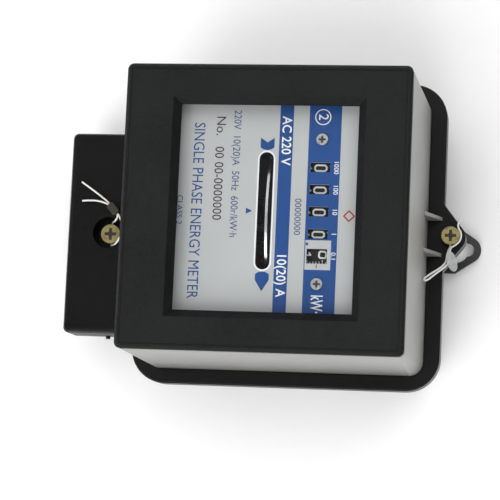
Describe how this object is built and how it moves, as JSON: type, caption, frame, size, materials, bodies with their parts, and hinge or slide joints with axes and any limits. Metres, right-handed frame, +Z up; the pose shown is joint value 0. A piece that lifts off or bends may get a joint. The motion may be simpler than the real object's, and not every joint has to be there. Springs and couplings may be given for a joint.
{
  "type": "electric meter",
  "caption": "Wall-hung induction electricity meter: square boxed cover with a window, turning disc behind a slot, drum register, terminal cover below and keyhole hanger above.",
  "frame": {"origin": "on the wall plane, behind the centre of the square cover", "axes": "+Z up, +X to the right seen from the front, +Y into the wall; the dial faces -Y"},
  "size_m": [0.118, 0.105, 0.1616],
  "materials": {
    "case_black": "fine moulded grain",
    "rim_black": "smooth moulded black",
    "shell_grey": "warm light grey enamel",
    "bezel_black": "fine leather grain",
    "glass": "clear",
    "gasket": "matt",
    "zinc_yellow": "yellow zinc plating",
    "steel": "brushed",
    "hanger_black": "black paint",
    "laminations": "stacked sheets",
    "coil": "varnished copper winding",
    "copper": "bare copper",
    "lead_red": "insulated",
    "brass": "turned brass",
    "aluminium": "rolled sheet",
    "casting": "die cast",
    "magnet": "dark sintered",
    "dial": "printed silver grey",
    "drum_black": "printed figures",
    "seal_wire": "white coated",
    "seal_tag": "clear plastic",
    "seal_lead": "crimped lead"
  },
  "bodies": {
    "base": {"base": "case_black", "hanger_strap": "steel", "strap_rivets": "steel", "cover_gasket": "gasket", "terminal_block": "case_black", "block_screws": "zinc_yellow", "terminal_clamps": "brass", "terminal_screws": "zinc_yellow", "link_screws": "zinc_yellow", "main_frame": "casting", "frame_screws": "zinc_yellow", "voltage_core": "laminations", "voltage_coil": "coil", "current_core": "laminations", "current_coils": "coil", "core_screws": "zinc_yellow", "brake_yoke": "laminations", "brake_magnets": "magnet", "brake_screws": "zinc_yellow", "top_bearing": "brass", "jewel_bearing": "brass", "current_leads": "copper", "voltage_leads": "lead_red", "dial_plate": "dial", "dial_screws": "steel", "register_frame": "aluminium", "register_screws": "zinc_yellow", "drum_shaft": "steel", "carry_shaft": "steel"},
    "hanger": {"hanger_plate": "hanger_black"},
    "main_cover": {"cover_rim": "rim_black", "cover_shell": "shell_grey", "front_bezel": "bezel_black", "window_glass": "glass", "top_seal_screw": "zinc_yellow", "top_seal_wire": "seal_wire", "top_seal_tag": "seal_tag"},
    "terminal_lid": {"terminal_cover": "case_black", "terminal_cover_screw": "zinc_yellow", "bottom_seal_wire": "seal_wire", "bottom_seal_bead": "seal_lead"},
    "link": {"voltage_link": "brass"},
    "rotor": {"rotor_disc": "aluminium", "spindle": "steel", "worm": "brass"},
    "first_wheel": {"worm_wheel": "brass"},
    "idler": {"idler_gear": "brass"},
    "tenths": {"tenths_drum": "drum_black"},
    "units": {"units_drum": "drum_black"},
    "tens": {"tens_drum": "drum_black"},
    "hundreds": {"hundreds_drum": "drum_black"},
    "thousands": {"thousands_drum": "drum_black"},
    "pinion_d": {"carry_pinion_d": "brass"},
    "pinion_c": {"carry_pinion_c": "brass"},
    "pinion_b": {"carry_pinion_b": "brass"},
    "pinion_a": {"carry_pinion_a": "brass"}
  },
  "joints": [
    {"name": "rotor_spin", "type": "hinge", "parent": "base", "child": "rotor", "pos_m": [0, -0.053, 0], "axis": [0, 0, 1], "continuous": true},
    {"name": "worm_wheel_spin", "type": "hinge", "parent": "base", "child": "first_wheel", "pos_m": [0, -0.064, 0.0186], "axis": [1, 0, 0], "continuous": true},
    {"name": "idler_spin", "type": "hinge", "parent": "base", "child": "idler", "pos_m": [0, -0.07803, 0.02391], "axis": [1, 0, 0], "continuous": true},
    {"name": "tenths_spin", "type": "hinge", "parent": "base", "child": "tenths", "pos_m": [0, -0.0853, 0.0186], "axis": [1, 0, 0], "continuous": true},
    {"name": "units_spin", "type": "hinge", "parent": "base", "child": "units", "pos_m": [0, -0.0853, 0.0186], "axis": [1, 0, 0], "continuous": true},
    {"name": "tens_spin", "type": "hinge", "parent": "base", "child": "tens", "pos_m": [0, -0.0853, 0.0186], "axis": [1, 0, 0], "continuous": true},
    {"name": "hundreds_spin", "type": "hinge", "parent": "base", "child": "hundreds", "pos_m": [0, -0.0853, 0.0186], "axis": [1, 0, 0], "continuous": true},
    {"name": "thousands_spin", "type": "hinge", "parent": "base", "child": "thousands", "pos_m": [0, -0.0853, 0.0186], "axis": [1, 0, 0], "continuous": true},
    {"name": "pinion_d_spin", "type": "hinge", "parent": "base", "child": "pinion_d", "pos_m": [0, -0.0853, 0.0088], "axis": [1, 0, 0], "continuous": true},
    {"name": "pinion_c_spin", "type": "hinge", "parent": "base", "child": "pinion_c", "pos_m": [0, -0.0853, 0.0088], "axis": [1, 0, 0], "continuous": true},
    {"name": "pinion_b_spin", "type": "hinge", "parent": "base", "child": "pinion_b", "pos_m": [0, -0.0853, 0.0088], "axis": [1, 0, 0], "continuous": true},
    {"name": "pinion_a_spin", "type": "hinge", "parent": "base", "child": "pinion_a", "pos_m": [0, -0.0853, 0.0088], "axis": [1, 0, 0], "continuous": true},
    {"name": "main_cover_pull", "type": "slide", "parent": "base", "child": "main_cover", "axis": [0, -1, 0], "range_m": [0, 0.08]},
    {"name": "terminal_lid_pull", "type": "slide", "parent": "base", "child": "terminal_lid", "axis": [0, -1, 0], "range_m": [0, 0.04]},
    {"name": "hanger_push", "type": "slide", "parent": "base", "child": "hanger", "axis": [0, 0, -1], "range_m": [0, 0.012]},
    {"name": "voltage_link_swing", "type": "hinge", "parent": "base", "child": "link", "pos_m": [-0.016, -0.0255, -0.0656], "axis": [0, 1, 0], "range_deg": [0, 70]}
  ],
  "couplings": [
    {"joint": "worm_wheel_spin", "follows": "rotor_spin", "ratio": -0.016667},
    {"joint": "idler_spin", "follows": "rotor_spin", "ratio": 0.0033333},
    {"joint": "tenths_spin", "follows": "rotor_spin", "ratio": -0.0016667},
    {"joint": "units_spin", "follows": "rotor_spin", "ratio": -0.00016667},
    {"joint": "tens_spin", "follows": "rotor_spin", "ratio": -0.000016667},
    {"joint": "hundreds_spin", "follows": "rotor_spin", "ratio": -0.0000016667},
    {"joint": "thousands_spin", "follows": "rotor_spin", "ratio": -0.00000016667},
    {"joint": "pinion_d_spin", "follows": "rotor_spin", "ratio": 0.00041667},
    {"joint": "pinion_c_spin", "follows": "rotor_spin", "ratio": 0.000041667},
    {"joint": "pinion_b_spin", "follows": "rotor_spin", "ratio": 0.0000041667},
    {"joint": "pinion_a_spin", "follows": "rotor_spin", "ratio": 0.00000041667}
  ]
}
